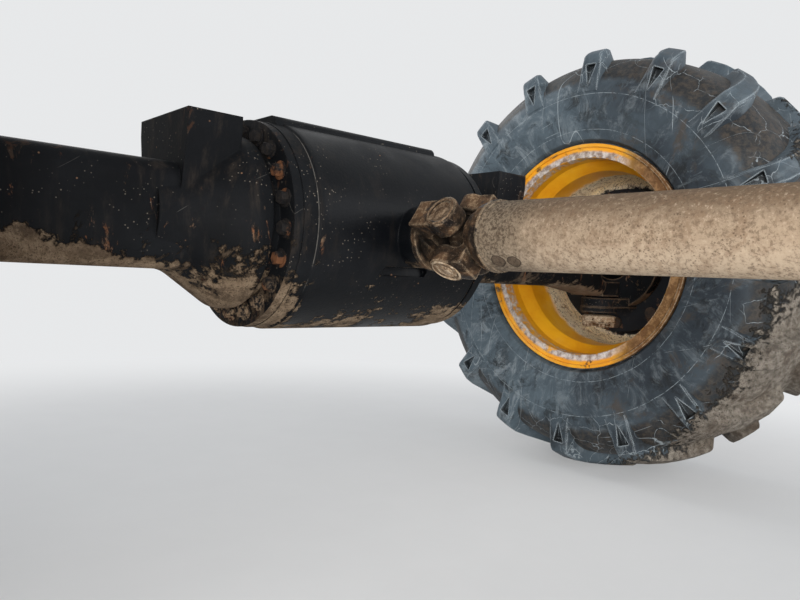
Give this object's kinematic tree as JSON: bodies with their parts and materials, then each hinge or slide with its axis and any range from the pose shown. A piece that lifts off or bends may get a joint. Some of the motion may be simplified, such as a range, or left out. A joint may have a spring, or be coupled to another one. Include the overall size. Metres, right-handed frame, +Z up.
{
  "type": "steering drive axle with wheels and propeller shaft, off a site dumper",
  "caption": "Black cast steering drive axle on large lugged tyres with yellow rims, and the jointed propeller shaft that drives it.",
  "frame": {"origin": "centre of the four chassis bolts, on the plane of the pads' tops", "axes": "+X along the axle to the right wheel, -Y along the propeller shaft to the gearbox, +Z up"},
  "size_m": [2.166, 1.5975, 1.075],
  "materials": {
    "axle_black": "worn satin",
    "hub_black": "worn satin",
    "dark_steel": "oily",
    "bright_rod": "polished",
    "rim_yellow": "dusty gloss",
    "tyre_rubber": "dusty",
    "joint_brown": "muddy",
    "shaft_grey": "dusty"
  },
  "bodies": {
    "axle": {"centre_housing": "axle_black", "arm_left": "axle_black", "arm_right": "axle_black", "steer_cylinder": "axle_black", "cylinder_clamp_left": "axle_black", "cylinder_clamp_right": "axle_black", "drive_joint_left": "dark_steel", "drive_joint_right": "dark_steel"},
    "steer_rod": {"steer_rod": "bright_rod"},
    "propeller_shaft": {"pinion_yoke": "joint_brown", "cross_axle_end": "joint_brown", "tube_yoke": "joint_brown", "shaft_tube": "shaft_grey", "slip_sleeve": "shaft_grey", "spline_shaft": "dark_steel", "slip_yoke": "joint_brown", "cross_gearbox_end": "joint_brown", "gearbox_flange": "joint_brown"},
    "knuckle_left": {"knuckle_left": "axle_black", "kingpin_upper_left": "axle_black", "kingpin_lower_left": "axle_black"},
    "tie_left": {"tie_rod_left": "dark_steel"},
    "wheel_left": {"hub_left": "hub_black", "hub_cover_left": "hub_black", "wheel_studs_left": "dark_steel", "wheel_disc_left": "rim_yellow", "rim_left": "rim_yellow", "tyre_left": "tyre_rubber"},
    "knuckle_right": {"knuckle_right": "axle_black", "kingpin_upper_right": "axle_black", "kingpin_lower_right": "axle_black"},
    "tie_right": {"tie_rod_right": "dark_steel"},
    "wheel_right": {"hub_right": "hub_black", "hub_cover_right": "hub_black", "wheel_studs_right": "dark_steel", "wheel_disc_right": "rim_yellow", "rim_right": "rim_yellow", "tyre_right": "tyre_rubber"}
  },
  "joints": [
    {"name": "steer_right", "type": "hinge", "parent": "axle", "child": "knuckle_right", "pos_m": [0.81, 0, -0.15], "axis": [0, 0, 1], "range_deg": [-28, 28]},
    {"name": "tie_turn_right", "type": "hinge", "parent": "knuckle_right", "child": "tie_right", "pos_m": [0.81, 0.15, -0.15], "axis": [0, 0, 1], "range_deg": [-28, 28]},
    {"name": "roll_right", "type": "hinge", "parent": "knuckle_right", "child": "wheel_right", "pos_m": [0.81, 0, -0.15], "axis": [1, 0, 0], "continuous": true},
    {"name": "steer_left", "type": "hinge", "parent": "axle", "child": "knuckle_left", "pos_m": [-0.81, 0, -0.15], "axis": [0, 0, 1], "range_deg": [-28, 28]},
    {"name": "tie_turn_left", "type": "hinge", "parent": "knuckle_left", "child": "tie_left", "pos_m": [-0.81, 0.15, -0.15], "axis": [0, 0, 1], "range_deg": [-28, 28]},
    {"name": "roll_left", "type": "hinge", "parent": "knuckle_left", "child": "wheel_left", "pos_m": [-0.81, 0, -0.15], "axis": [1, 0, 0], "continuous": true},
    {"name": "rod_slide", "type": "slide", "parent": "axle", "child": "steer_rod", "axis": [1, 0, 0], "range_m": [-0.0706, 0.0706]},
    {"name": "shaft_spin", "type": "hinge", "parent": "axle", "child": "propeller_shaft", "pos_m": [0, -0.264, -0.156], "axis": [0, 1, 0], "continuous": true}
  ],
  "couplings": [
    {"joint": "steer_left", "follows": "steer_right", "ratio": 1},
    {"joint": "tie_turn_right", "follows": "steer_right", "ratio": -1},
    {"joint": "tie_turn_left", "follows": "steer_right", "ratio": -1},
    {"joint": "rod_slide", "follows": "steer_right", "m_per_rad": -0.1441}
  ]
}
